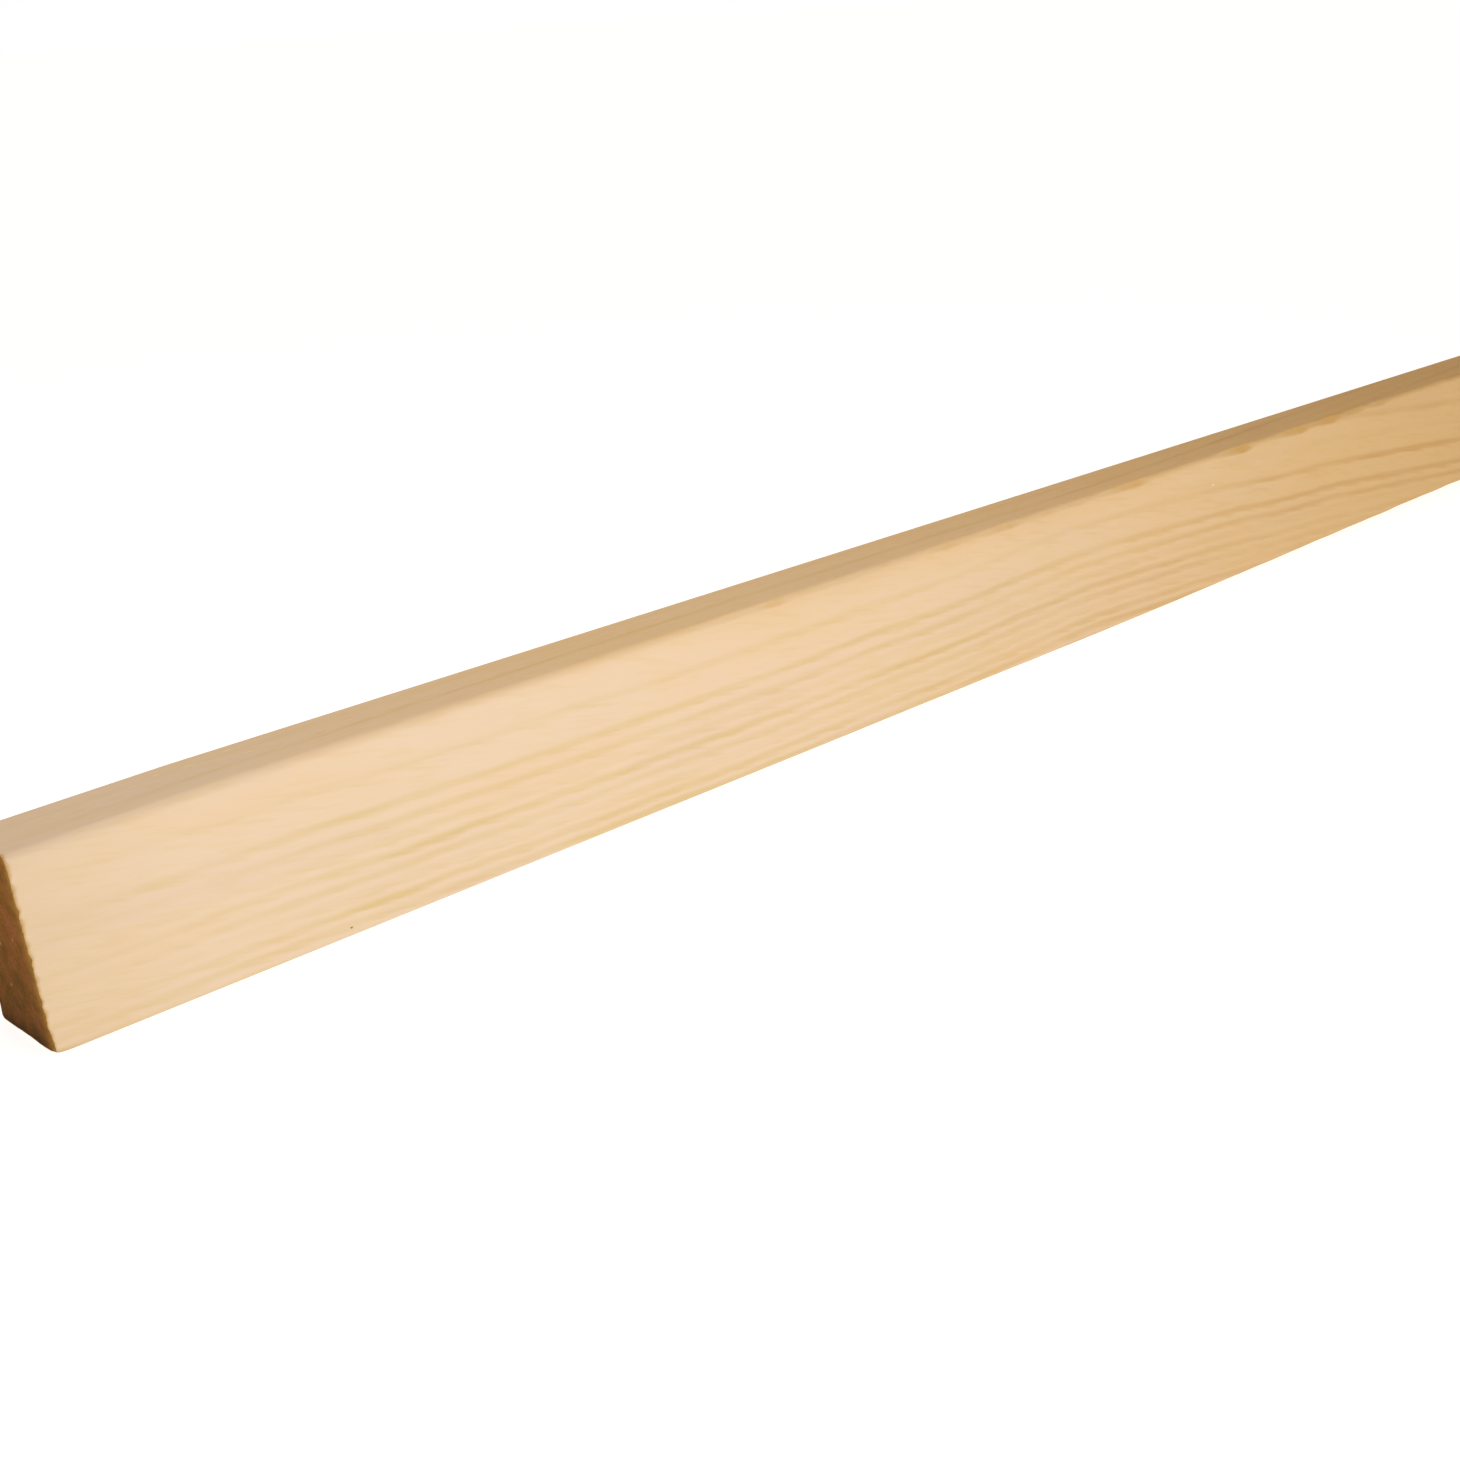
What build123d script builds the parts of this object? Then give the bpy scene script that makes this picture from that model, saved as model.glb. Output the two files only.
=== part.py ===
from build123d import *
import os

# One length of raked glazing bead: planed softwood in one piece, sawn square at both ends.
# The section is a trapezoid with two right angles. The base seats in the rebate of the frame,
# the back stands square to it and lies against the glass, and the front face rakes back from
# the base to a narrower top. All four long arrises are eased, each by its own radius.
# Frame: +X along the bead, the raked face towards -Y, +Z up, origin at the middle of the base.

# Driving dimensions, in millimetres
bead_length = 2100.0  # one stock length, cut to fit each pane
bead_height = 21.0  # from the base to the top
base_width = 12.0  # from the back to the sharp line where base and raked face would meet
top_width = 9.5  # from the back to the sharp line where top and raked face would meet

# Radii of the eased arrises, in millimetres
sight_arris_radius = 1.2  # raked face to top: the rounded edge that stays in sight
base_arris_radius = 0.3  # raked face to base: left nearly sharp, to close on the rebate
glass_arris_radius = 0.4  # back to base and back to top

# The section lies across the length, with its sharp corners worked out from the widths
back_line = base_width / 2
base_corner = (back_line - base_width, 0)
sight_corner = (back_line - top_width, bead_height)
glass_top_corner = (back_line, bead_height)
glass_base_corner = (back_line, 0)

with BuildPart() as glazing_bead:
    with BuildSketch(Plane.YZ) as raked_section:
        with BuildLine() as outline:
            FilletPolyline(
                base_corner,
                sight_corner,
                glass_top_corner,
                glass_base_corner,
                radius=[base_arris_radius, sight_arris_radius, glass_arris_radius, glass_arris_radius],
                close=True,
            )
        make_face()
    extrude(amount=bead_length / 2, both=True)

glazing_bead.part.label = "glazing_bead"
os.makedirs("parts", exist_ok=True)
export_step(glazing_bead.part, "parts/glazing_bead.step")
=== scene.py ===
from math import radians

import bpy
import numpy as np
from mathutils import Matrix, Vector


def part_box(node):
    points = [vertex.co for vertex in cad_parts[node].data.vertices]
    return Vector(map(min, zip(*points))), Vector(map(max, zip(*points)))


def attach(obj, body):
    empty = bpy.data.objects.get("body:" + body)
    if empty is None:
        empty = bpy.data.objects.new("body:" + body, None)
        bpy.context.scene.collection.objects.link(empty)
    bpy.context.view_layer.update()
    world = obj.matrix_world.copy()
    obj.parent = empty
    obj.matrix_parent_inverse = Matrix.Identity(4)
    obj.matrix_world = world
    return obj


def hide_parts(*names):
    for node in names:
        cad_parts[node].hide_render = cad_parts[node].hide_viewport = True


# A raked glazing bead of planed pine, as one closed mesh: the section is carried along the
# length, with the sawn ends, the torn and bruised arrises and the waney edge along the base.
# The wood is solid: growth rings stand round a pith line far outside the bead, and each face
# shows the cut that it makes through them.
# Lengths are in millimetres unless a line says metres. x is the distance from the near end,
# and y and z are those of the frame.

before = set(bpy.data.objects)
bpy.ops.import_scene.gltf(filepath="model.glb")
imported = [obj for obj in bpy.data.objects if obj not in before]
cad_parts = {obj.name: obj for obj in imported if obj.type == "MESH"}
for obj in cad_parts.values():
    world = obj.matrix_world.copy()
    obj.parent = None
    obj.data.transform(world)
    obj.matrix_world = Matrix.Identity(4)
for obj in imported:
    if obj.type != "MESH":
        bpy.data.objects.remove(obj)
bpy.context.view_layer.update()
low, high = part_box("glazing_bead")

mm = 0.001
photo_pixels = 1460

# The section. Its overall size comes from the frame.
bead_length = (high[0] - low[0]) / mm
bead_height = (high[2] - low[2]) / mm
back_line = high[1] / mm
base_width = 12.0
top_width = 9.5
sight_arris_radius = 1.2
base_arris_radius = 0.3
glass_arris_radius = 0.4
base_corner = np.array((back_line - base_width, 0.0))
sight_corner = np.array((back_line - top_width, bead_height))

# The sawn ends
end_recess = 0.30  # the cut lies this far inside the nominal length, so that fibres fit
end_tilt = 0.30  # the saw leant: the foot of the cut lies this much further in than its top
face_recess = 0.06  # the sawn face lies this much further in than its own edge
rag_depth = 0.02  # the edge of the cut is ragged all round
rake_rag_depth = 0.05  # and this much more along the raked face
rake_reach = 3.4  # how far back across the section the damage to the raked edge goes
rag_fade = 0.7  # the rag fades along the skin in about this length
foot_wear = 0.28  # the cut's edge is worn back at the foot of the raked face
foot_wear_height = 3.5
# Chips out of the raked edge of the near cut: (height up the face, half width, depth)
end_chips = (
    (18.9, 1.6, 0.09),
    (15.3, 0.6, 0.26),
    (10.2, 0.6, 0.22),
    (9.0, 0.8, 0.06),
    (5.8, 0.6, 0.06),
    (4.3, 0.7, 0.08),
)
scratch_depth = 0.005
pit_depth = 0.035

# Wear near both ends
snipe_depth = 0.35  # the planer bit a little deeper where the stock left the rollers
snipe_length = 22.0
bruise_depth = 0.30  # the corner at the foot of the raked face is knocked in
bruise_length = 0.9
bruise_reach = 1.5
scuff_share = 0.6  # and the base is scuffed next to it, by this share of the bruise
scuff_middle = 5.0
scuff_reach = 5.0

# The sight arris wavers a little. How far it stands out from its round, at distances from the
# near end
arris_waver = 0.04
waver_reach = 1.6
sharper_places = (3, 8, 20, 30, 168, 188)
sharper_values = (0.10, 0.0, 0.0, 0.09, 0.07, 0.20)
sharper_reach = 1.1

# Torn places on the sight arris: (distance of the deepest point from the near end, half length,
# depth). Beyond them come seeded ones.
arris_tears = (
    (96, 7, 0.07),
    (104, 6, 0.14),
    (118, 11, 0.05),
    (138.5, 8, 0.12),
    (151, 9, 0.13),
    (160, 5, 0.09),
    (168, 6, 0.07),
    (182, 12, 0.18),
    (212, 9, 0.26),
    (229.5, 9, 0.24),
    (239, 7, 0.24),
    (248, 6, 0.10),
    (256, 5, 0.14),
)
further_tears = 26
further_places = (290, bead_length - 20)
further_half_lengths = (4, 13)
further_depths = (0.04, 0.2)
deepest_tear = 0.28
tear_inward = np.array((0.78, -0.626))  # unit (y, z), from the arris into the wood

# The torn look lies round this place, from the sharp corner of the arris, and spreads with the
# depth of the tear. It starts at one depth and is full this much deeper
torn_middle = np.array((-0.03, -0.25))
torn_reach = 0.25
torn_spread = 3.0
torn_soft_edge = 0.2
torn_shows_at = 0.05
torn_full_after = 0.19

# Wane: the curved outside of the log leaves the base arris short in one place, with a thin
# stretch before and after it
wane_height = 1.6
wane_middle = 335.0
wane_half_length = 175.0
thin_wane_height = 0.2
thin_wane_start = (80, 130)
thin_wane_end = (400, 510)
wane_inward = np.array((0.447, 0.894))

# Growth rings: the pith line, and the dark late wood of each ring as (radius, strength by the
# near end, strength further on). The one gives way to the other over ring_change
pith_y, pith_z = -58.6, 75.6
ring_change = (195, 225)
dusty_length = 48  # dust of the saw dulls the late wood this far in
rings = (
    (66.4, 0.6, 0.6),
    (68.6, 0.8, 0.8),
    (71.3, 0.5, 0.5),
    (73.5, 0.7, 0.7),
    (76.1, 0.5, 0.5),
    (78.2, 0.06, 0.1),
    (80.7, 0.4, 1.2),
    (83.4, 0.85, 1.0),
    (84.8, 0.65, 0.9),
    (86.0, 0.3, 0.15),
    (87.2, 0.9, 0.4),
    (88.4, 0.65, 0.3),
    (89.5, 0.25, 0.3),
    (90.6, 0.85, 0.45),
    (91.7, 0.95, 0.45),
    (92.9, 1.2, 0.5),
    (94.3, 0.8, 0.6),
    (95.5, 0.7, 0.7),
    (96.6, 0.9, 0.9),
    (98.0, 0.6, 0.6),
    (99.3, 0.8, 0.8),
    (100.4, 0.7, 0.7),
    (101.7, 0.6, 0.6),
    (103.0, 0.9, 0.9),
    (104.2, 0.7, 0.7),
)
late_wood_reach = 0.5  # how far the late wood shows on either side of its darkest line
late_wood_share = 0.45  # the share of a year that this reach takes up

# How far the ring pattern has climbed, at distances from the near end
climb_places = np.array((
    0, 20, 40, 60, 80, 100, 120, 142, 156, 165, 174, 182, 190, 200, 210, 220, 230, 240, 250, 260,
    270, 300, 340, 400, 460,
))
climb_values = np.array((
    1.03, 0.93, 0.57, 0.18, -0.04, -0.18, 0.03, 0.15, 0.62, 0.83, 0.66, 0.36, 0.05, -0.42, -1.0,
    -1.75, -2.25, -2.78, -3.50, -4.35, -5.15, -7.70, -10.5, -12.4, -12.4,
))

# Beyond what the photo shows, the pattern goes on as the bend and the wander of a trunk. The
# fibres waver all along
photo_reach = 300
trunk_bend = 6.0
trunk_wander = 0.8
fibre_waver = 0.08

# Where the colour changes: the top turns darker and yellower away from the near end, which is
# painted shade of the dim warm light over it. The raked face below the sight arris turns yellower on a
# middle stretch, and the sides are a little darker near the cuts
top_shade_deepens = (5, 75)
arris_yellows = (70, 110)
arris_pales = (160, 200)
arris_yellow_reach = 5.5
darker_by_cut_length = 18

# The amber edge: a ragged line by each cut and a strip of torn fibres on each cut. Along the
# foot of the raked face runs a thin darker line, strongest at the near end: painted shade of the base
# arris
cut_line_width, cut_line_rag = 0.32, 0.18
foot_line_reach = 0.7
foot_line_length = 3
fibre_strip_width, fibre_strip_rag = 0.95, 0.4

# Small marks on the faces and on the near cut: (x, y, z, half length along the bead)
pale_flecks = (
    (12.9, 3.46, 21.0, 0.7),
    (17.0, 2.9, 21.0, 1.6),
    (19.9, 3.85, 21.0, 0.7),
    (23.5, 3.5, 21.0, 1.1),
    (28.5, 4.3, 21.0, 0.7),
    (29.9, 2.1, 21.0, 0.6),
    (201.9, -4.05, 16.4, 0.5),
)
dark_specks = (
    (34.7, -5.88, 1.0, 0.24),
)
end_flecks = (
    (0.4, 1.8, 5.2, 0.5),
    (0.4, 2.3, 9.6, 0.5),
    (0.4, -1.1, 11.1, 0.5),
)
fleck_half_width = 0.14
end_fleck_half_width = 0.22

# The mesh: the largest steps round the section, the distances of the stations by the cut, how
# many there are on each stretch further on, and how many loops each end has
step_front, step_top, step_hidden = 0.2, 0.3, 1.0
cut_stations = np.array([0, 0.08, 0.18, 0.3, 0.45, 0.65, 0.9, 1.2, 1.6, 2.1, 2.7, 3.4, 4.2])
near_strips = ((0, 150), (150, 300))
near_strip_stations = (96, 153)
far_strips = ((300, 900), (900, 1500), (1500, bead_length))
far_strip_stations = (36, 36, 35)
cap_loops = 33

# The bake map, in pixels, and pixels for each millimetre
map_size = 1024
map_margin = 4
near_scale, far_scale = 5.2, 1.67
cap_scale = 15.0
cap_left, cap_foot, cap_pitch = 800, 8, 335


def outline():
    """The section as (y, z), its outward normals and the distance round it.

    Each corner is an arc that touches both of its sides: centre = corner + inward offset, and
    point = centre + radius * (cos a, sin a), with a turning clockwise from one side's normal
    to the next. The sides between the arcs are divided evenly. It starts in the middle of the
    base.
    """
    corners = np.array([base_corner, sight_corner, (back_line, bead_height), (back_line, 0.0)])
    radii = (base_arris_radius, sight_arris_radius, glass_arris_radius, glass_arris_radius)
    arc_points = (5, 13, 5, 5)
    steps = (step_front, step_top, step_hidden, step_hidden)  # of the side after each corner

    sides = np.roll(corners, -1, axis=0) - corners
    sides /= np.linalg.norm(sides, axis=1)[:, None]
    outward = np.stack([-sides[:, 1], sides[:, 0]], axis=1)

    arcs = []
    for i, (corner, radius, count) in enumerate(zip(corners, radii, arc_points)):
        before, after = outward[i - 1], outward[i]
        centre = corner - radius * (before + after) / (1 + before @ after)
        start = np.arctan2(before[1], before[0])
        angle = start - np.arccos(before @ after) * np.linspace(0, 1, count)
        normal = np.stack([np.cos(angle), np.sin(angle)], axis=1)
        arcs.append((centre + radius * normal, normal))

    points, normals = [], []
    for i, (arc, arc_normal) in enumerate(arcs):
        following = arcs[(i + 1) % len(arcs)][0][0]
        gap = np.linalg.norm(following - arc[-1])
        inner = np.linspace(0, 1, max(2, round(gap / steps[i])) + 1)[1:-1, None]
        points += [arc, arc[-1] + inner * (following - arc[-1])]
        normals += [arc_normal, np.repeat(arc_normal[-1:], len(inner), axis=0)]
    points, normals = np.concatenate(points), np.concatenate(normals)

    seam = np.argmin(np.hypot(points[:, 0], points[:, 1]))
    points, normals = np.roll(points, -seam, axis=0), np.roll(normals, -seam, axis=0)
    round_it = np.linalg.norm(np.roll(points, -1, axis=0) - points, axis=1)
    return points, normals, np.concatenate([[0], np.cumsum(round_it)])


def stations():
    """Distances from the near end: finest at the cuts, close near the near end, then wide.

    The ends of the map strips are among them, so that no face crosses from one to the next.
    """
    marks_along = [cut_stations[-1]] + [end for start, end in (*near_strips, *far_strips)]
    marks_along[-1] = bead_length - cut_stations[-1]
    counts = (*near_strip_stations, *far_strip_stations)
    between = [
        np.linspace(start, end, count)[1:]
        for start, end, count in zip(marks_along[:-1], marks_along[1:], counts)
    ]
    return np.concatenate([cut_stations, *between, bead_length - cut_stations[::-1][1:]])


def hump(distance, half_length):
    """A smooth hump: (1 - t squared) squared, t = distance / half_length, and 0 outside it."""
    t = np.clip(np.abs(distance) / half_length, 0, 1)
    return (1 - t**2) ** 2


def eased(x, start, end):
    """0 up to start, 1 from end on, and 3 t squared - 2 t cubed between."""
    t = np.clip((x - start) / (end - start), 0, 1)
    return t**2 * (3 - 2 * t)


def ripple(x, lengths, seed):
    """Sines of these wavelengths, each with its own seeded phase, averaged: -1 to 1."""
    phase = np.random.default_rng(seed).uniform(0, 2 * np.pi, len(lengths))
    waves = (np.sin(2 * np.pi * x / length + p) for length, p in zip(lengths, phase))
    return sum(waves) / len(lengths)


def smooth_through(x, places, values):
    """A smooth curve through these points, level beyond them.

    Cubic pieces, each with the values at its two ends and, as slopes there, those between the
    neighbours on either side.
    """
    slopes = np.gradient(values, places)
    x = np.clip(x, places[0], places[-1])
    i = np.clip(np.searchsorted(places, x) - 1, 0, len(places) - 2)
    span = places[i + 1] - places[i]
    t = (x - places[i]) / span
    from_start = (values[i] * (1 + 2 * t) + slopes[i] * span * t) * (1 - t) ** 2
    to_end = (values[i + 1] * (3 - 2 * t) - slopes[i + 1] * span * (1 - t)) * t**2
    return from_start + to_end


def growth(x, y, z):
    """Growth years counted from the pith, and the strength of the late wood there.

    radius = distance from the pith line, which climbs and falls with the bend of the trunk and
    a fine waver of the fibres. A year runs from half way between two dark lines to the next
    half way, with the line at its middle and late_wood_reach as late_wood_share of it on
    either side. The late wood is weak by the near end, where the saw dust dulls it, and its
    strength wavers along each ring.
    """
    unseen = np.clip((x - photo_reach) / photo_reach, 0, 1)
    bend = trunk_bend * ripple(x, (910, 530, 370), 5)
    wander = trunk_wander * ripple(x, (97, 61), 6)
    waver = fibre_waver * ripple(x + 3 * y, (23, 14.5, 8.7, 6.1), 7)
    climb = smooth_through(x, climb_places, climb_values) + unseen * (bend + wander) + waver
    radius = np.hypot(y - pith_y, z - pith_z - climb)

    dark, near_strength, far_strength = np.array(rings).T
    number = np.arange(len(dark)) + 0.5
    lines = np.concatenate([dark - late_wood_reach, dark, dark + late_wood_reach])
    count = np.concatenate([number - late_wood_share, number, number + late_wood_share])
    order = np.argsort(lines)
    years = np.interp(radius, lines[order], count[order])

    further = eased(x, *ring_change)
    near_part = np.interp(radius, dark, near_strength) * (1 - further)
    far_part = np.interp(radius, dark, far_strength) * further
    dulled = 0.3 + 0.7 * eased(x, 0, dusty_length)
    varied = 1 + 0.25 * ripple(x + 31 * years, (67, 41, 29), 8)
    return years, (near_part + far_part) * dulled * varied


def pared(spot, corner, inward, depth):
    """How far points (y, z) move along the unit vector inward to a flat that cuts a corner off.

    The flat lies depth from the corner: move = depth - (spot - corner) . inward, never below 0.
    """
    return np.clip(depth - (spot - corner) @ inward, 0, None)


def tear_depth(x):
    """Depth of the tears along the sight arris past its round.

    Each one deepens slowly along the bead and breaks off in a third of that length. Beyond the
    listed ones they are seeded.
    """
    dice = np.random.default_rng(17)
    more = zip(
        dice.uniform(*further_places, further_tears),
        dice.uniform(*further_half_lengths, further_tears),
        dice.uniform(*further_depths, further_tears),
    )
    depth = np.zeros_like(x)
    for place, half, deep in (*arris_tears, *more):
        depth += deep * hump(np.where(x < place, 1, 3) * (x - place), half)
    return np.minimum(depth, deepest_tear) * (0.85 + 0.15 * ripple(x, (4.9, 3.1, 2.3), 11))


def wane_missing(x, along):
    """How much of the base arris the wane takes: two humps, one long and thin, one short."""
    thin = thin_wane_height * (eased(x, *thin_wane_start) - eased(x, *thin_wane_end))
    full = wane_height * hump(x - wane_middle, wane_half_length)
    return (thin + full)[:, None] * (1 + 0.06 * ripple(along, (31, 17, 9.3), 15))


def worn_body(x, section, normal):
    """The worn surface on the grid of stations and section points, and how torn it looks.

    point = (x, section), moved along the normal by a fine waver of the sight arris, by what
    stands out there, and inwards by the bruise and scuff at the foot of the raked face, which
    fade with distance from the cut. No point rises above the top. Flats then pare the tears
    and the wane, and the snipe lowers both ends, less with distance from the cut and with
    depth below the top.
    """
    along = np.repeat(x[:, None], len(section), axis=1)
    spot = np.repeat(section[None], len(x), axis=0)
    from_arris = np.linalg.norm(section - sight_corner, axis=1)
    from_foot = np.linalg.norm(section - base_corner, axis=1)
    from_cut = np.minimum(along, bead_length - along)

    waver = arris_waver * (1 + ripple(along, (19, 11, 5.3, 3.1), 13)) * hump(from_arris, waver_reach)
    sharper = np.interp(along, sharper_places, sharper_values) * hump(from_arris, sharper_reach)
    downward = np.clip(-normal[:, 1], 0, 1)
    scuff = scuff_share * downward * hump(from_foot - scuff_middle, scuff_reach)
    knocked = bruise_depth * np.exp(-from_cut / bruise_length)
    bruise = knocked * (hump(from_foot, bruise_reach) + scuff)
    spot = spot - normal * (waver - sharper + bruise)[..., None]
    spot[..., 1] = np.minimum(spot[..., 1], bead_height)

    depth = tear_depth(x)[:, None]
    round_gap = ((section - sight_corner) @ tear_inward).min()
    lost = pared(spot, sight_corner, tear_inward, np.where(depth > 0.01, round_gap + depth, 0))
    spot = spot + tear_inward * lost[..., None]
    short = pared(spot, base_corner, wane_inward, wane_missing(x, along) * wane_inward[1])
    spot = spot + wane_inward * short[..., None]

    near_cut = np.clip(1 - from_cut / snipe_length, 0, 1)
    snipe = snipe_depth * near_cut * (spot[..., 1] / bead_height) ** 3
    lowered = np.stack([along, spot[..., 0], spot[..., 1] - snipe], axis=-1)

    # The torn look is deeper amber wood together with painted shade, where the torn facet turns up
    # towards the dim ceiling
    away = np.linalg.norm(section - sight_corner - torn_middle, axis=1)
    inside = torn_reach + torn_spread * depth - away
    within = eased(inside, -torn_soft_edge, torn_soft_edge)
    return lowered, within * np.clip((depth - torn_shows_at) / torn_full_after, 0, 1)


def cut_level(z):
    """How far the leaning saw cut lies in from the nominal end at this height."""
    return end_recess + end_tilt * (0.5 - z / bead_height)


def end_edge(section, distance_round, chips, seed):
    """How far the sawn edge lies in from the nominal end, for each section point.

    The leaning cut, plus a fine rag of fibres, the chips and the worn foot. All three are
    strongest by the raked face. The rag goes on faintly all round, and the other two fade out.
    """
    on_rake = hump(section[:, 0] - base_corner[0], rake_reach)
    rag = rag_depth + rake_rag_depth * on_rake
    fine = ripple(distance_round, (1.9, 1.15, 0.73, 0.47), seed) * rag
    broken = sum(deep * hump(section[:, 1] - place, half) for place, half, deep in chips)
    foot = foot_wear * hump(section[:, 1], foot_wear_height)
    return cut_level(section[:, 1]) + fine + (broken + foot) * on_rake


def saw_marks(y, z, seed):
    """The relief of a sawn face: slanting scratches of the teeth, and pits of pulled fibres.

    Scratches are sines along one slant, and pits the product of sines along two others.
    """
    across = 0.6 * z + 0.8 * y
    along = 0.8 * z - 0.6 * y
    bent = along + 0.15 * ripple(across, (7, 3.7), seed)
    scratches = ripple(bent, (1.9, 1.27, 0.83, 0.61), seed + 1)
    rows = ripple(across * 1.7 + along, (1.3, 0.9, 0.57), seed + 2)
    columns = ripple(y - z, (2.1, 1.4, 0.8), seed + 3)
    return scratch_depth * scratches + pit_depth * rows * columns


def sawn_cap(edge, sign, nominal, seed):
    """A sawn end: the last loop of the skin drawn in to its middle, closer near the edge.

    loop = middle + share * (edge - middle), where share = 1 - t to the power of 1.25. Its x
    leaves the edge's own and reaches the leaning cut with its saw marks as share to the power
    of 12 falls to 0. sign is the way into the wood along the bead.
    """
    share = 1 - np.linspace(0, 1, cap_loops + 2)[1:-1, None, None] ** 1.25
    middle = edge.mean(axis=0)
    cap = middle + share * (edge - middle)
    relief = saw_marks(cap[..., 1], cap[..., 2], seed)
    level = nominal + sign * (cut_level(cap[..., 2]) + face_recess + relief)
    cap[..., 0] = edge[:, 0] + (level - edge[:, 0]) * (1 - share[..., 0] ** 12)
    middle[0] = cap[-1, :, 0].mean()
    return cap, middle


def quads(grid):
    """Four-sided faces between neighbouring rows of a grid that closes on itself."""
    turned = np.roll(grid, -1, axis=1)
    return np.stack([grid[:-1], grid[1:], turned[1:], turned[:-1]], axis=-1).reshape(-1, 4)


def bead_faces(rows, count):
    """The faces as sets of vertex numbers: the skin, then the loops and the fan of each end."""
    skin = np.arange(rows * count).reshape(rows, count)
    near_cap = rows * count + np.arange(cap_loops * count).reshape(cap_loops, count)
    far_cap = near_cap + cap_loops * count
    near_middle = np.full(count, far_cap[-1, -1] + 1)
    near_grid = np.concatenate([skin[:1], near_cap])
    far_grid = np.concatenate([skin[-1:], far_cap])
    near_fan = np.stack([near_grid[-1], np.roll(near_grid[-1], -1), near_middle], axis=1)
    far_fan = np.stack([np.roll(far_grid[-1], -1), far_grid[-1], near_middle + 1], axis=1)
    return quads(skin), quads(near_grid)[:, ::-1], near_fan, quads(far_grid), far_fan


def wood_measures(places, x, section, normal, distance_round, torn_and_shaded):
    """What the materials read from each vertex, by name. The skin's vertices come first.

    years and late_wood are the growth, with the late wood of the top strongest in its middle
    and weak towards the back. top_shade_and_yellow is painted shade on the top, darker and
    yellower away from the near end, and a yellower stretch below the sight arris. darker_by_cut
    fades along the sides from the cut. rim is the amber edge and a painted shade: on the skin a
    ragged amber line by the cut and a thin darker line along the foot, which is painted shade of
    the base arris; on the cut a strip of torn fibres that falls off with distance from the raked face.
    """
    on_skin = torn_and_shaded.size
    up = np.clip(normal[:, 1], 0, 1)
    from_cut = np.minimum(x, bead_length - x)[:, None]
    from_arris = np.linalg.norm(section - sight_corner, axis=1)
    from_foot = np.linalg.norm(section - base_corner, axis=1)

    years, late_wood = growth(places[:, 0], places[:, 1], places[:, 2])
    top_change = 0.7 * hump(section[:, 0] - 0.6, 2.4) - 0.7 * eased(section[:, 0], 2.0, 4.5)
    late_wood[:on_skin] *= np.tile(1 + up * top_change, len(x))

    below_arris = 0.8 * hump(from_arris, arris_yellow_reach)
    stretch = (eased(x, *arris_yellows) - eased(x, *arris_pales))[:, None]
    # Painted shade: the top darker and yellower away from the near end; and a yellower stretch below
    # the sight arris
    top_shade_and_yellow = np.maximum(eased(x, *top_shade_deepens)[:, None] * up, stretch * below_arris)
    # The sides darker near each cut
    darker_by_cut = np.clip(1 - from_cut / darker_by_cut_length, 0, 1) * (1 - up)

    ragged = cut_line_width + cut_line_rag * ripple(distance_round[:-1], (3.1, 1.9, 1.2), 23)
    cut_rim = 0.95 * np.exp(-(from_cut / ragged) ** 2)
    # A thin darker line along the foot of the raked face: painted shade of the base arris, strongest
    # at the near end
    foot_strength = 0.06 + 0.8 * np.exp(-x / foot_line_length)
    foot_shade_line = hump(from_foot, foot_line_reach) * foot_strength[:, None]

    y, z = places[on_skin:, 1], places[on_skin:, 2]
    off_rake = y - base_corner[0] - (base_width - top_width) * z / bead_height
    fibre_strip = fibre_strip_width + fibre_strip_rag * ripple(z, (5.3, 2.9, 1.7), 25)
    cap_rim = np.exp(-(np.clip(off_rake, 0, None) / fibre_strip) ** 1.5)

    bare_caps = np.zeros(len(places) - on_skin)
    return {
        "years": years,
        "late_wood": late_wood,
        "torn_and_shaded": np.concatenate([torn_and_shaded.ravel(), bare_caps]),
        "top_shade_and_yellow": np.concatenate([top_shade_and_yellow.ravel(), bare_caps]),
        "darker_by_cut": np.concatenate([darker_by_cut.ravel(), bare_caps]),
        "rim": np.concatenate([np.maximum(cut_rim, foot_shade_line).ravel(), cap_rim]),
    }


def skin_map(x, distance_round):
    """Map places for the skin's corners: the length in five strips laid above each other.

    u = margin + (x - strip start) * scale, v = strip foot + distance round * scale. The near
    strips are drawn larger than the far ones.
    """
    uv = np.zeros((len(x) - 1, len(distance_round) - 1, 4, 2))
    foot = map_margin
    slack = 0.01  # so that a station on a strip's own end counts as part of it
    for strips, scale in ((near_strips, near_scale), (far_strips, far_scale)):
        for start, end in strips:
            first, last = np.searchsorted(x, (start - slack, end + slack))
            u = (map_margin + (x[first:last] - start) * scale) / map_size
            v = (foot + distance_round * scale) / map_size
            strip = uv[first : last - 1]
            strip[:, :, (0, 3), 0] = u[:-1, None, None]
            strip[:, :, (1, 2), 0] = u[1:, None, None]
            strip[:, :, (0, 1), 1] = v[:-1, None]
            strip[:, :, (2, 3), 1] = v[1:, None]
            foot += distance_round[-1] * scale + 2 * map_margin
    return uv.reshape(-1, 2)


def cap_map(y, z, column):
    """Map places for a sawn end, drawn flat and large beside the near strips."""
    u = cap_left + (y - base_corner[0]) * cap_scale
    v = cap_foot + column * cap_pitch + z * cap_scale
    return np.stack([u, v], axis=-1) / map_size


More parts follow.
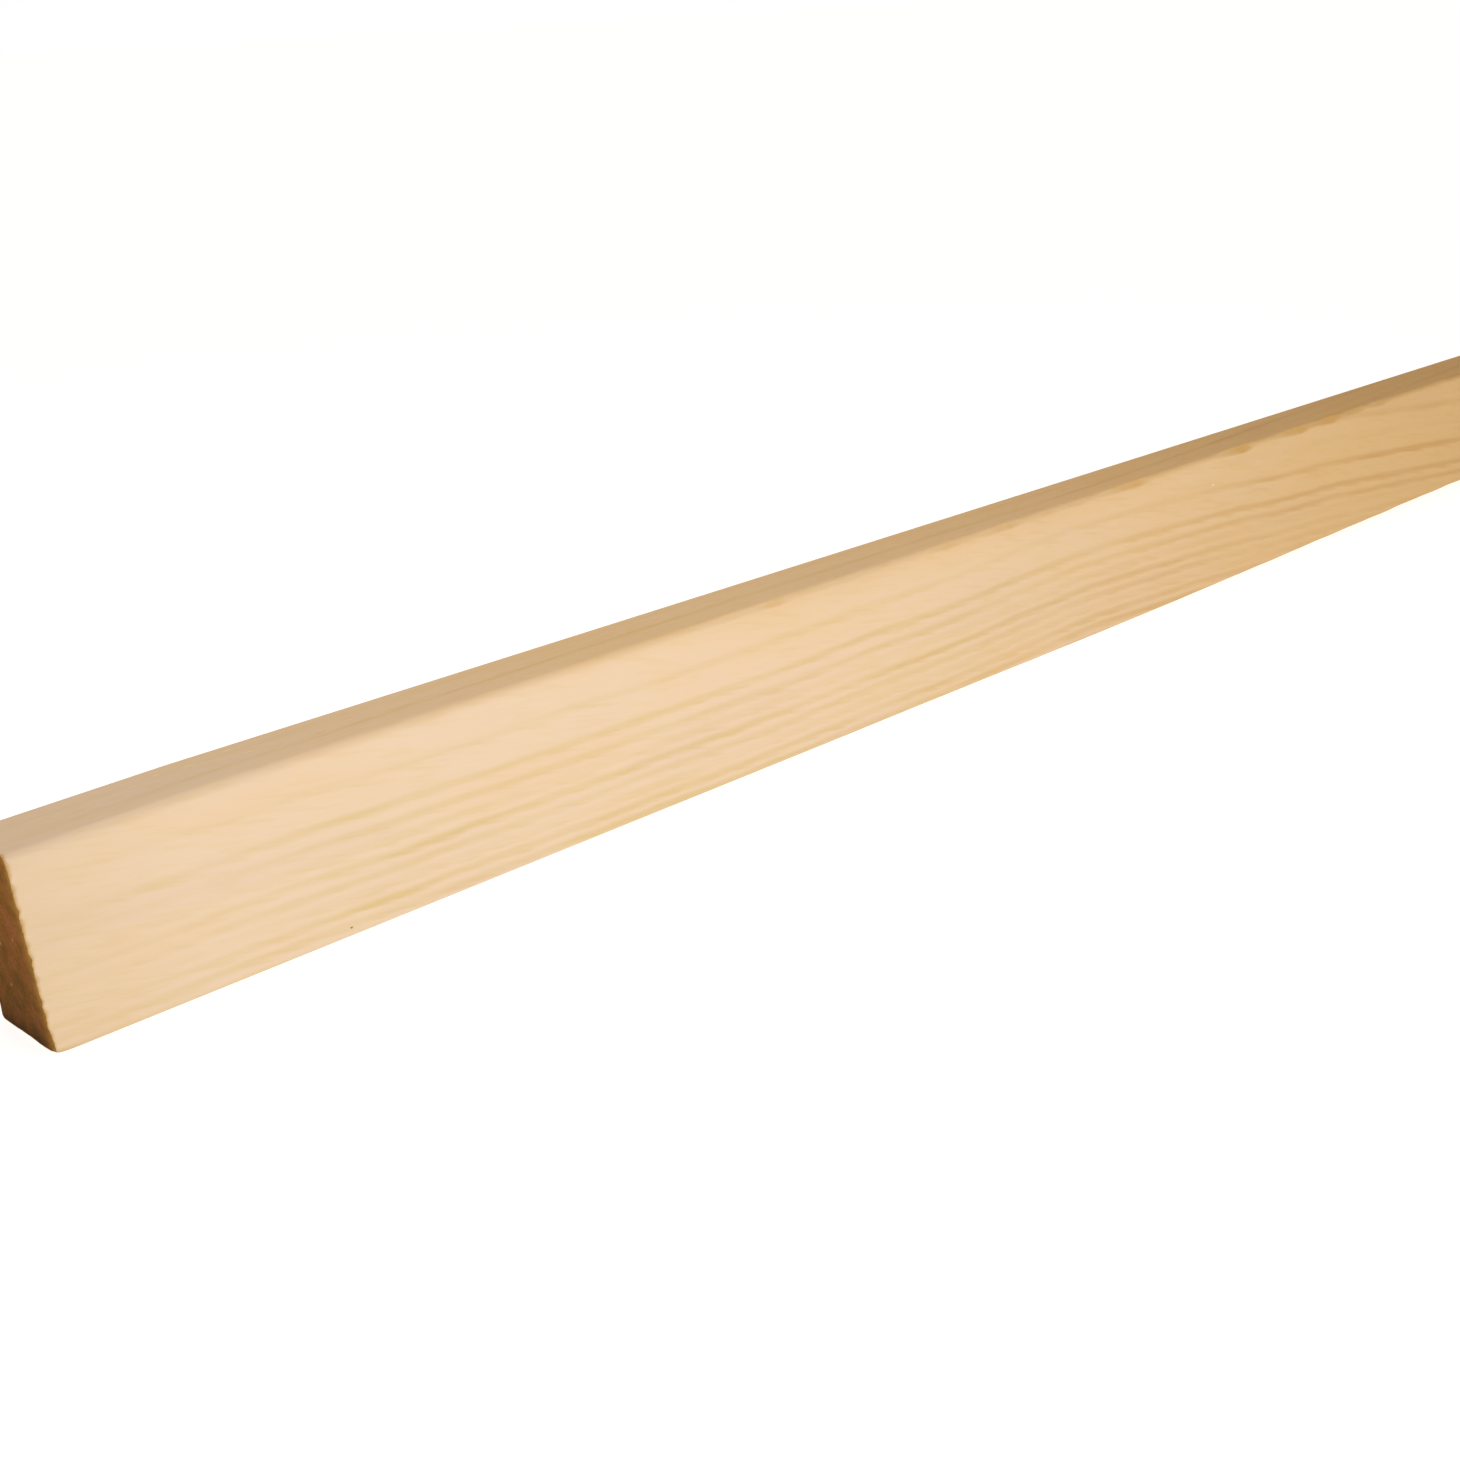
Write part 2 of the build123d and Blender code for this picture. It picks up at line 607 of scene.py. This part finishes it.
def bead_mesh():
    """The whole bead as one closed mesh, with its growth and wear kept on the vertices.

    The skin is a grid of stations by section points, its ends moved in by
    rag * exp(-x / rag_fade), and each end is closed by a sawn cap with one vertex in its
    middle.
    """
    section, normal, distance_round = outline()
    x = stations()
    skin, torn_and_shaded = worn_body(x, section, normal)
    near_edge = end_edge(section, distance_round[:-1], end_chips, 21)
    far_edge = end_edge(section, distance_round[:-1], end_chips[1:4], 31)
    reach = np.exp(-x / rag_fade)[:, None]
    skin[..., 0] += reach * near_edge - reach[::-1] * far_edge

    near_cap, near_middle = sawn_cap(skin[0], 1, 0, 41)
    far_cap, far_middle = sawn_cap(skin[-1], -1, bead_length, 51)
    parts = skin, near_cap, far_cap, near_middle, far_middle
    places = np.concatenate([part.reshape(-1, 3) for part in parts])
    face_sets = bead_faces(*skin.shape[:2])
    faces = [face for part in face_sets for face in part.tolist()]

    mesh = bpy.data.meshes.new("glazing_bead_wood")
    mesh.from_pydata((places * mm + np.array([low[0], 0, 0])).tolist(), [], faces)
    measures = wood_measures(places, x, section, normal, distance_round, torn_and_shaded)
    for name, values in measures.items():
        kept = mesh.attributes.new(name, "FLOAT", "POINT")
        kept.data.foreach_set("value", values.astype(np.float32))

    corner_uv = [skin_map(x, distance_round)]
    for part, column in zip(face_sets[1:], (0, 0, 1, 1)):
        corner = places[part.reshape(-1)]
        corner_uv.append(cap_map(corner[:, 1], corner[:, 2], column))
    bake_map = mesh.uv_layers.new(name="OFBake")
    bake_map.data.foreach_set("uv", np.concatenate(corner_uv).astype(np.float32).ravel())

    slots = np.ones(len(faces), dtype=np.int32)
    slots[: len(face_sets[0])] = 0
    mesh.polygons.foreach_set("material_index", slots)
    mesh.polygons.foreach_set("use_smooth", np.ones(len(faces), dtype=bool))
    mesh.set_sharp_from_angle(angle=radians(50))
    mesh.update()
    return mesh


def linear(hex_colour):
    """An sRGB hex colour as linear red, green, blue and an alpha of 1."""
    value = np.array([int(hex_colour[i : i + 2], 16) for i in (0, 2, 4)]) / 255
    dark_part, bright_part = value / 12.92, ((value + 0.055) / 1.055) ** 2.4
    return (*np.where(value <= 0.04045, dark_part, bright_part).tolist(), 1.0)


def add(tree, kind, settings=None, stops=(), **links):
    """Adds a node with its settings and links, and gives it back.

    settings are the node's own properties, and stops the (place, grey or colour) marks of a
    colour ramp. A socket in links is joined and any other value is set. A name such as i6
    stands for the input with that number, and _ for a space.
    """
    node = tree.nodes.new(kind)
    for name, value in (settings or {}).items():
        setattr(node, name, value)
    for i, (position, colour) in enumerate(stops):
        elements = node.color_ramp.elements
        point = elements[i] if i < len(elements) else elements.new(position)
        point.position = position
        point.color = colour if isinstance(colour, tuple) else (colour, colour, colour, 1)
    for name, value in links.items():
        key = int(name[1:]) if name[1:].isdigit() else name.replace("_", " ")
        if isinstance(value, bpy.types.NodeSocket):
            tree.links.new(value, node.inputs[key])
        else:
            node.inputs[key].default_value = value
    return node


def streaks(tree, length, width, tilt=0.0, detail=2.0):
    """Noise drawn out along the bead: patches of this length and width, 0 to 1."""
    place = add(tree, "ShaderNodeTexCoord").outputs["Object"]
    drawn = add(
        tree, "ShaderNodeMapping", {"vector_type": "TEXTURE"}, Vector=place,
        Rotation=(0, radians(tilt), 0), Scale=(length * mm, width * mm, width * mm),
    )
    noise = add(tree, "ShaderNodeTexNoise", Vector=drawn.outputs[0], Scale=1.0, Detail=detail)
    return noise.outputs[0]


def marks(tree, places, half_width):
    """1 inside small long spots at these places of the bead, and 0 outside, with soft edges."""
    place = add(tree, "ShaderNodeTexCoord").outputs["Object"]
    covered = 0.0
    for along, y, z, half_length in places:
        spot = add(
            tree, "ShaderNodeMapping", {"vector_type": "TEXTURE"}, Vector=place,
            Location=(low[0] + along * mm, y * mm, z * mm),
            Scale=(half_length * mm, half_width * mm, half_width * mm),
        )
        away = add(tree, "ShaderNodeVectorMath", {"operation": "LENGTH"}, i0=spot.outputs[0])
        inside = add(
            tree, "ShaderNodeMapRange", Value=away.outputs["Value"], From_Min=1.0, From_Max=0.35,
        )
        larger = add(
            tree, "ShaderNodeMath", {"operation": "MAXIMUM"}, i0=inside.outputs[0], i1=covered,
        )
        covered = larger.outputs[0]
    return covered


def planed_pine():
    """Planed pine, bare and dry: pale early wood, thin straw-coloured late wood, silky fibres.

    The cutter leaves it smooth with a faint satin. Late wood is denser, so it is darker, a
    little glossier and stands a hair proud. The upper face is painted darker and yellower as
    shade, the sides are a little darker near the cuts, and where the arris tore, deeper amber wood
    shows with painted shade on the facet. The wood darkens and warms away from the near end as
    painted shade of the light falling off along the bead.
    """
    material = bpy.data.materials.new("planed_pine")
    material.use_nodes = True
    tree = material.node_tree
    shader = tree.nodes["Principled BSDF"]
    kept = {
        name: add(tree, "ShaderNodeAttribute", {"attribute_name": name}).outputs["Fac"]
        for name in ("years", "late_wood", "torn_and_shaded", "rim", "top_shade_and_yellow", "darker_by_cut")
    }

    # Bundles of fibres, ten times as wide as a single one, which is too fine to show. Short
    # strokes that lean across the rings, soft cloudiness, and where a ring shows more or less.
    fibre = streaks(tree, length=8, width=0.34, detail=3.0)
    strokes = streaks(tree, length=6, width=0.6, tilt=11)
    patches = streaks(tree, length=34, width=7)
    fading = streaks(tree, length=22, width=1.3, tilt=4)

    # Late wood: a soft dark line in the middle of each year, broken up by the strokes
    shifted = add(
        tree, "ShaderNodeMath", {"operation": "MULTIPLY_ADD"},
        i0=strokes, i1=0.44, i2=kept["years"],
    )
    centred = add(
        tree, "ShaderNodeMath", {"operation": "SUBTRACT"}, i0=shifted.outputs[0], i1=0.22,
    )
    part = add(tree, "ShaderNodeMath", {"operation": "FRACT"}, i0=centred.outputs[0])
    late = add(
        tree, "ShaderNodeValToRGB", Fac=part.outputs[0],
        stops=(
            (0.05, 0.0), (0.19, 0.40), (0.33, 0.82), (0.5, 1.0), (0.67, 0.85), (0.81, 0.45),
            (0.95, 0.0),
        ),
    )
    strong = add(
        tree, "ShaderNodeMath", {"operation": "MULTIPLY"},
        i0=late.outputs[0], i1=kept["late_wood"],
    )
    seen = add(
        tree, "ShaderNodeMapRange",
        Value=fading, From_Min=0.3, From_Max=0.6, To_Min=0.5, To_Max=1.1,
    )
    line = add(
        tree, "ShaderNodeMath", {"operation": "MULTIPLY"}, i0=strong.outputs[0], i1=seen.outputs[0],
    ).outputs[0]

    # Early wood turns from cream to a darker honey away from the near end: painted shade, the light
    # falling off along the bead. Later it turns to a paler straw
    place = add(tree, "ShaderNodeTexCoord").outputs["Object"]
    along = add(tree, "ShaderNodeSeparateXYZ", Vector=place).outputs["X"]
    painted_falloff = add(
        tree, "ShaderNodeMapRange", {"interpolation_type": "SMOOTHSTEP"},
        Value=along, From_Min=low[0] + 60 * mm, From_Max=low[0] + 290 * mm,
    )
    paler = add(
        tree, "ShaderNodeMapRange", {"interpolation_type": "SMOOTHSTEP"},
        Value=along, From_Min=low[0] + 310 * mm, From_Max=low[0] + 750 * mm,
    )
    body = add(
        tree, "ShaderNodeMix", {"data_type": "RGBA"},
        i0=painted_falloff.outputs[0], i6=linear("dac2a6"), i7=linear("d2ae79"),
    )
    body = add(
        tree, "ShaderNodeMix", {"data_type": "RGBA"},
        i0=paler.outputs[0], i6=body.outputs[2], i7=linear("dfc59a"),
    )
    cloud = add(
        tree, "ShaderNodeValToRGB", Fac=patches,
        stops=((0.3, (1, 0.975, 0.92, 1)), (0.5, (1, 1, 1, 1)), (0.7, (0.98, 0.965, 0.99, 1))),
    )
    grain = add(
        tree, "ShaderNodeValToRGB", Fac=strokes,
        stops=((0.34, (0.98, 0.97, 0.91, 1)), (0.5, (1, 1, 1, 1)), (0.66, (1, 1, 1.02, 1))),
    )
    # The late wood's tint follows the same painted fall of the light
    line_tint = add(
        tree, "ShaderNodeMix", {"data_type": "RGBA"},
        i0=painted_falloff.outputs[0], i6=(0.90, 0.88, 0.66, 1), i7=(0.88, 0.79, 0.64, 1),
    )
    tinted = body.outputs[2]
    for amount, tint in (
        (1.0, cloud.outputs[0]),
        (1.0, grain.outputs[0]),
        # Painted shade on the top, and the yellower stretch below the sight arris
        (kept["top_shade_and_yellow"], (0.97, 0.91, 0.76, 1)),
        (kept["darker_by_cut"], (0.94, 0.92, 0.85, 1)),
        (line, line_tint.outputs[2]),
    ):
        layer = add(
            tree, "ShaderNodeMix", {"data_type": "RGBA", "blend_type": "MULTIPLY"},
            i0=amount, i6=tinted, i7=tint,
        )
        tinted = layer.outputs[2]

    # Tears, deeper amber wood with painted shade on the upturned facet; the rim of the cut, with
    # painted shade along the foot of the raked face; and the small marks
    ragged = add(
        tree, "ShaderNodeMapRange",
        Value=fibre, From_Min=0.3, From_Max=0.5, To_Min=0.55, To_Max=1.0,
    )
    torn_and_shaded = add(
        tree, "ShaderNodeMath", {"operation": "MULTIPLY"}, i0=kept["torn_and_shaded"], i1=ragged.outputs[0],
    )
    for amount, colour in (
        (torn_and_shaded.outputs[0], "cb9f5c"),
        (kept["rim"], "b48c50"),
        (marks(tree, pale_flecks, fleck_half_width), "e8cda4"),
        (marks(tree, dark_specks, fleck_half_width), "8a6236"),
    ):
        layer = add(
            tree, "ShaderNodeMix", {"data_type": "RGBA"}, i0=amount, i6=tinted, i7=linear(colour),
        )
        tinted = layer.outputs[2]

    sheen = add(
        tree, "ShaderNodeMapRange",
        Value=fibre, From_Min=0.3, From_Max=0.7, To_Min=0.68, To_Max=0.54,
    )
    glossier = add(
        tree, "ShaderNodeMath", {"operation": "MULTIPLY_ADD"}, i0=line, i1=-0.10, i2=sheen.outputs[0],
    )
    # Height in hundredths of a millimetre: fibres, and late wood that stands proud
    height = add(
        tree, "ShaderNodeMath", {"operation": "MULTIPLY_ADD"}, i0=line, i1=0.5, i2=fibre,
    )
    relief = add(
        tree, "ShaderNodeBump", Strength=0.6, Distance=0.01 * mm, Height=height.outputs[0],
    )

    tree.links.new(tinted, shader.inputs["Base Color"])
    tree.links.new(glossier.outputs[0], shader.inputs["Roughness"])
    tree.links.new(relief.outputs[0], shader.inputs["Normal"])
    shader.inputs["Specular IOR Level"].default_value = 0.16
    return material


def sawn_end_grain():
    """Sawn end grain of pine: the open fibre ends soak up light, so it is far browner than the faces.

    The saw leaves it rough and scorched in patches. Its brown is darker than the wood's own, as
    painted shade of the end that faces away from the light; it is painted darker still at its foot,
    as shade by the floor, and lighter towards the top of the raked edge, as painted light. A strip of
    torn amber fibres runs along the raked edge.
    """
    material = bpy.data.materials.new("sawn_end_grain")
    material.use_nodes = True
    tree = material.node_tree
    shader = tree.nodes["Principled BSDF"]
    kept = {
        name: add(tree, "ShaderNodeAttribute", {"attribute_name": name}).outputs["Fac"]
        for name in ("years", "rim")
    }
    place = add(tree, "ShaderNodeTexCoord").outputs["Object"]

    # Scorched patches about 2 mm across, and open fibre ends in clumps of a third of a
    # millimetre, because single ones are too fine to show
    scorch = add(tree, "ShaderNodeTexNoise", Vector=place, Scale=0.45 / mm, Detail=4.0)
    fibres = add(
        tree, "ShaderNodeTexNoise", Vector=place, Scale=3.0 / mm, Detail=3.0, Roughness=0.7,
    )
    # The end grain's own brown, darkened further as painted shade of the end that faces away from the
    # light
    end_brown_and_shade = add(
        tree, "ShaderNodeValToRGB", Fac=scorch.outputs[0],
        stops=((0.34, linear("6a481e")), (0.5, linear("7c5020")), (0.66, linear("87532c"))),
    )

    # How bright each place is: painted shade at the foot, painted light towards the top corner by the
    # raked face, fibres and rings
    axes = add(tree, "ShaderNodeSeparateXYZ", Vector=place).outputs
    foot = add(tree, "ShaderNodeMapRange", Value=axes["Z"], From_Max=4 * mm)
    foot_shade = add(
        tree, "ShaderNodeValToRGB", Fac=foot.outputs[0],
        stops=((0.0, 0.26), (0.1, 0.52), (0.3, 0.76), (0.7, 0.93), (1.0, 1.0)),
    )
    # Painted light: brighter upwards and towards the raked face
    up_and_out = add(
        tree, "ShaderNodeMath", {"operation": "MULTIPLY_ADD"}, i0=axes["Y"], i1=-0.8, i2=axes["Z"],
    )
    light_up_and_out = add(
        tree, "ShaderNodeMapRange",
        Value=up_and_out.outputs[0], From_Max=18 * mm, To_Min=0.78, To_Max=1.18,
    )
    speckle = add(
        tree, "ShaderNodeMapRange",
        Value=fibres.outputs[0], From_Min=0.3, From_Max=0.7, To_Min=0.8, To_Max=1.2,
    )
    part = add(tree, "ShaderNodeMath", {"operation": "FRACT"}, i0=kept["years"])
    late = add(
        tree, "ShaderNodeMapRange",
        Value=part.outputs[0], From_Min=0.6, From_Max=0.9, To_Min=1.0, To_Max=0.93,
    )
    shade = foot_shade.outputs[0]
    for factor in (light_up_and_out, speckle, late):
        product = add(
            tree, "ShaderNodeMath", {"operation": "MULTIPLY"}, i0=shade, i1=factor.outputs[0],
        )
        shade = product.outputs[0]
    shaded = add(
        tree, "ShaderNodeVectorMath", {"operation": "SCALE"}, i0=end_brown_and_shade.outputs[0], Scale=shade,
    )

    # The strip of amber fibres, ragged by the fibre clumps, and the flecks
    rag = add(
        tree, "ShaderNodeMapRange",
        Value=fibres.outputs[0], From_Min=0.35, From_Max=0.6, To_Min=0.6, To_Max=1.0,
    )
    rim = add(
        tree, "ShaderNodeMath", {"operation": "MULTIPLY"}, i0=kept["rim"], i1=rag.outputs[0],
    )
    tinted = shaded.outputs[0]
    for amount, colour in (
        (rim.outputs[0], "a87c3a"),
        (marks(tree, end_flecks, end_fleck_half_width), "a07a5c"),
    ):
        layer = add(
            tree, "ShaderNodeMix", {"data_type": "RGBA"}, i0=amount, i6=tinted, i7=linear(colour),
        )
        tinted = layer.outputs[2]
    relief = add(
        tree, "ShaderNodeBump", Strength=0.8, Distance=0.08 * mm, Height=fibres.outputs[0],
    )
    tree.links.new(tinted, shader.inputs["Base Color"])
    tree.links.new(relief.outputs[0], shader.inputs["Normal"])
    shader.inputs["Roughness"].default_value = 0.92
    shader.inputs["Specular IOR Level"].default_value = 0.05
    return material


def bead():
    """The bead's wood in place of its solid, with both of its finishes."""
    piece = bpy.data.objects.new("planed_bead", bead_mesh())
    bpy.context.scene.collection.objects.link(piece)
    piece.data.materials.append(planed_pine())
    piece.data.materials.append(sawn_end_grain())
    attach(piece, "root")
    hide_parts("glazing_bead")


def floor():
    """A plain pale floor, lit a little from within like a light table, so that it stays white.

    In metres. It lies a hair below the bead.
    """
    half = 30.0
    level = -0.2 * mm
    mesh = bpy.data.meshes.new("pale_floor")
    corners = [(x, y, level) for x, y in ((-half, -half), (half, -half), (half, half), (-half, half))]
    mesh.from_pydata(corners, [], [(0, 1, 2, 3)])
    ground = bpy.data.objects.new("pale_floor", mesh)
    bpy.context.scene.collection.objects.link(ground)
    material = bpy.data.materials.new("white_acrylic")
    material.use_nodes = True
    shader = material.node_tree.nodes["Principled BSDF"]
    shader.inputs["Base Color"].default_value = (0.45, 0.45, 0.45, 1)
    shader.inputs["Roughness"].default_value = 0.9
    shader.inputs["Specular IOR Level"].default_value = 0.0
    shader.inputs["Emission Color"].default_value = (1, 1, 1, 1)
    shader.inputs["Emission Strength"].default_value = 0.8
    mesh.materials.append(material)


def soft_box(name, place, aim, power, colour, size):
    """A rectangular light at a place, turned to face its aim, all in metres and watts."""
    data = bpy.data.lights.new(name, "AREA")
    data.energy = power
    data.color = colour
    data.shape = "RECTANGLE"
    data.size, data.size_y = size
    light = bpy.data.objects.new(name, data)
    bpy.context.scene.collection.objects.link(light)
    light.location = place
    light.rotation_euler = (aim - place).to_track_quat("-Z", "Y").to_euler()
    light.visible_camera = False


def lights():
    """Soft studio light: white walls under a dim warm ceiling, with two soft boxes by the near end."""
    world = bpy.data.worlds.new("white_room")
    bpy.context.scene.world = world
    world.use_nodes = True
    tree = world.node_tree
    towards = add(tree, "ShaderNodeTexCoord").outputs["Generated"]
    upwards = add(tree, "ShaderNodeSeparateXYZ", Vector=towards).outputs["Z"]
    walls = add(
        tree, "ShaderNodeValToRGB", Fac=upwards,
        stops=((0.04, (1.0, 1.0, 1.0, 1)), (0.36, (0.517, 0.46, 0.39, 1))),
    )
    tree.links.new(walls.outputs[0], tree.nodes["Background"].inputs["Color"])
    aim = Vector((low[0] + 0.075, 0, 0.01))
    front_place = aim + Vector((0, -0.27, 0.09))
    upper_place = aim + Vector((0, 0.06, 0.2))
    soft_box("front_box", front_place, aim, power=0.345, colour=(1, 1, 1), size=(0.2, 0.16))
    soft_box("upper_box", upper_place, aim, power=0.14, colour=(1.0, 0.95, 0.88), size=(0.16, 0.16))


def camera():
    """The photograph's view, solved from the bead's long edges and its near sawn end.

    turned = heading about Z, then pitch about the camera's X, then roll about its own axis.
    """
    place_from_near_end = Vector((-62.48, -174.44, 92.18)) * mm
    heading, pitch, roll = 47.516, 20.427, -3.148
    focal_pixels = 1933.4  # for the photo's own width
    data = bpy.data.cameras.new("photo_camera")
    data.sensor_width = 36.0
    data.lens = data.sensor_width * focal_pixels / photo_pixels
    data.clip_start, data.clip_end = 0.005, 100
    view = bpy.data.objects.new("photo_camera", data)
    bpy.context.scene.collection.objects.link(view)
    turned = (
        Matrix.Rotation(radians(heading - 90), 4, "Z")
        @ Matrix.Rotation(radians(90 - pitch), 4, "X")
        @ Matrix.Rotation(radians(roll), 4, "Z")
    )
    view.matrix_world = Matrix.Translation(Vector((low[0], 0, 0)) + place_from_near_end) @ turned
    bpy.context.scene.camera = view


bead()
floor()
lights()
camera()
bpy.context.scene.view_settings.view_transform = "Standard"
